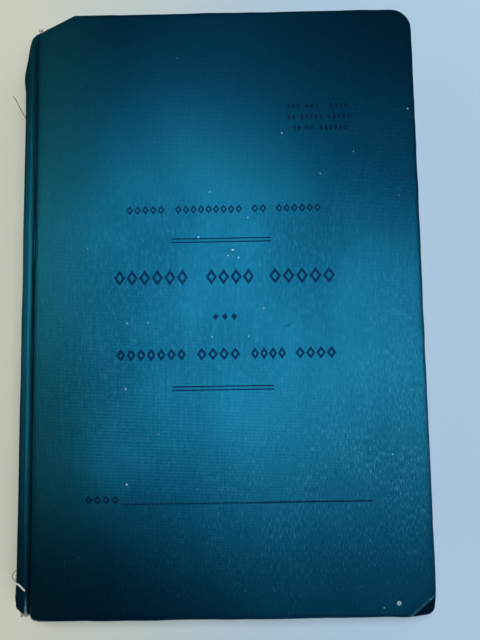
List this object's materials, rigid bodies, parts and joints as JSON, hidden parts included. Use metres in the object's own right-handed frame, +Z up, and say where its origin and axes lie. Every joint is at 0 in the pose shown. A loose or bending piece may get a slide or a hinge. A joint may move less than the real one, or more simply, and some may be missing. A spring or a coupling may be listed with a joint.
{
  "type": "pilot logbook",
  "caption": "Case-bound cloth hardcover flying log book with hinged boards, sewn sections on linen tapes, hollow spine and endpapers.",
  "frame": {"origin": "middle of the base of the bounding box, on the outside of the back cover", "axes": "+X from the spine to the fore edge, +Y from tail to head, +Z up out of the front cover"},
  "size_m": [0.148, 0.222, 0.02],
  "materials": {
    "book_cloth": "teal-blue dyed book cloth, fine linen weave, semi-matt starch filled, worn pale at edges",
    "spine_cloth": "the same blue book cloth, rounded over the hollow spine, frayed at head and tail",
    "grey_board": "grey-brown pressed millboard, matt",
    "stiff_paper": "thin manila strip, matt",
    "endpaper": "cream endpaper, toned and lightly spotted",
    "page_paper": "cream ledger paper with darker edges",
    "linen_thread": "waxed linen thread",
    "linen_tape": "woven linen tape",
    "mull": "open starched cotton mull",
    "lining_paper": "brown kraft paper glued to the back",
    "print_ink": "dark navy stamped ink, thin and slightly worn"
  },
  "bodies": {
    "back_cover": {"back_board": "grey_board", "back_cover_cloth": "book_cloth", "back_pastedown": "endpaper", "back_tape_ends": "linen_tape", "back_hinge_cloth": "book_cloth", "back_endpaper_fold": "endpaper"},
    "back_block": {"section_12": "page_paper", "back_flyleaf": "endpaper", "sewing_back": "linen_thread", "tape_head": "linen_tape", "tape_middle": "linen_tape", "tape_tail": "linen_tape", "mull": "mull", "spine_lining": "lining_paper", "spine_inlay": "stiff_paper", "spine_cloth": "spine_cloth"},
    "front_block": {"section_01": "page_paper", "front_flyleaf": "endpaper", "sewing_front": "linen_thread"},
    "front_cover": {"front_board": "grey_board", "front_cover_cloth": "book_cloth", "front_pastedown": "endpaper", "front_tape_ends": "linen_tape", "cover_print": "print_ink", "front_hinge_cloth": "book_cloth", "front_endpaper_fold": "endpaper"},
    "leaves_02": {"section_02": "page_paper"},
    "leaves_03": {"section_03": "page_paper"},
    "leaves_04": {"section_04": "page_paper"},
    "leaves_05": {"section_05": "page_paper"},
    "leaves_06": {"section_06": "page_paper"},
    "leaves_07": {"section_07": "page_paper"},
    "leaves_08": {"section_08": "page_paper"},
    "leaves_09": {"section_09": "page_paper"},
    "leaves_10": {"section_10": "page_paper"},
    "leaves_11": {"section_11": "page_paper"}
  },
  "joints": [
    {"name": "back_hinge", "type": "hinge", "parent": "back_cover", "child": "back_block", "pos_m": [-0.0691, 0, 0.0024], "axis": [0, -1, 0], "range_deg": [0, 30], "deforming": ["back_hinge_cloth", "back_endpaper_fold"]},
    {"name": "middle_opening", "type": "hinge", "parent": "back_block", "child": "front_block", "pos_m": [-0.07045, 0, 0.00997], "axis": [0, -1, 0], "range_deg": [0, 125], "deforming": ["tape_head", "tape_middle", "tape_tail", "mull", "spine_lining", "spine_inlay", "spine_cloth"]},
    {"name": "front_hinge", "type": "hinge", "parent": "front_block", "child": "front_cover", "pos_m": [-0.0691, 0, 0.01755], "axis": [0, 1, 0], "range_deg": [-178, 0], "deforming": ["front_hinge_cloth", "front_endpaper_fold"]},
    {"name": "section_02_turn", "type": "hinge", "parent": "front_block", "child": "leaves_02", "pos_m": [-0.0698, 0, 0.01493], "axis": [0, 1, 0], "range_deg": [0, 2]},
    {"name": "section_03_turn", "type": "hinge", "parent": "front_block", "child": "leaves_03", "pos_m": [-0.0698, 0, 0.01383], "axis": [0, 1, 0], "range_deg": [0, 4]},
    {"name": "section_04_turn", "type": "hinge", "parent": "front_block", "child": "leaves_04", "pos_m": [-0.0698, 0, 0.01273], "axis": [0, 1, 0], "range_deg": [0, 6]},
    {"name": "section_05_turn", "type": "hinge", "parent": "front_block", "child": "leaves_05", "pos_m": [-0.0698, 0, 0.01162], "axis": [0, 1, 0], "range_deg": [0, 8]},
    {"name": "section_06_turn", "type": "hinge", "parent": "front_block", "child": "leaves_06", "pos_m": [-0.0698, 0, 0.01052], "axis": [0, 1, 0], "range_deg": [0, 10]},
    {"name": "section_07_turn", "type": "hinge", "parent": "back_block", "child": "leaves_07", "pos_m": [-0.0698, 0, 0.00942], "axis": [0, -1, 0], "range_deg": [0, 10]},
    {"name": "section_08_turn", "type": "hinge", "parent": "back_block", "child": "leaves_08", "pos_m": [-0.0698, 0, 0.00833], "axis": [0, -1, 0], "range_deg": [0, 8]},
    {"name": "section_09_turn", "type": "hinge", "parent": "back_block", "child": "leaves_09", "pos_m": [-0.0698, 0, 0.00722], "axis": [0, -1, 0], "range_deg": [0, 6]},
    {"name": "section_10_turn", "type": "hinge", "parent": "back_block", "child": "leaves_10", "pos_m": [-0.0698, 0, 0.00613], "axis": [0, -1, 0], "range_deg": [0, 4]},
    {"name": "section_11_turn", "type": "hinge", "parent": "back_block", "child": "leaves_11", "pos_m": [-0.0698, 0, 0.00502], "axis": [0, -1, 0], "range_deg": [0, 2]}
  ],
  "couplings": [
    {"joint": "section_02_turn", "follows": "middle_opening", "ratio": 0.016},
    {"joint": "section_03_turn", "follows": "middle_opening", "ratio": 0.032},
    {"joint": "section_04_turn", "follows": "middle_opening", "ratio": 0.048},
    {"joint": "section_05_turn", "follows": "middle_opening", "ratio": 0.064},
    {"joint": "section_06_turn", "follows": "middle_opening", "ratio": 0.08},
    {"joint": "section_07_turn", "follows": "middle_opening", "ratio": 0.08},
    {"joint": "section_08_turn", "follows": "middle_opening", "ratio": 0.064},
    {"joint": "section_09_turn", "follows": "middle_opening", "ratio": 0.048},
    {"joint": "section_10_turn", "follows": "middle_opening", "ratio": 0.032},
    {"joint": "section_11_turn", "follows": "middle_opening", "ratio": 0.016}
  ]
}
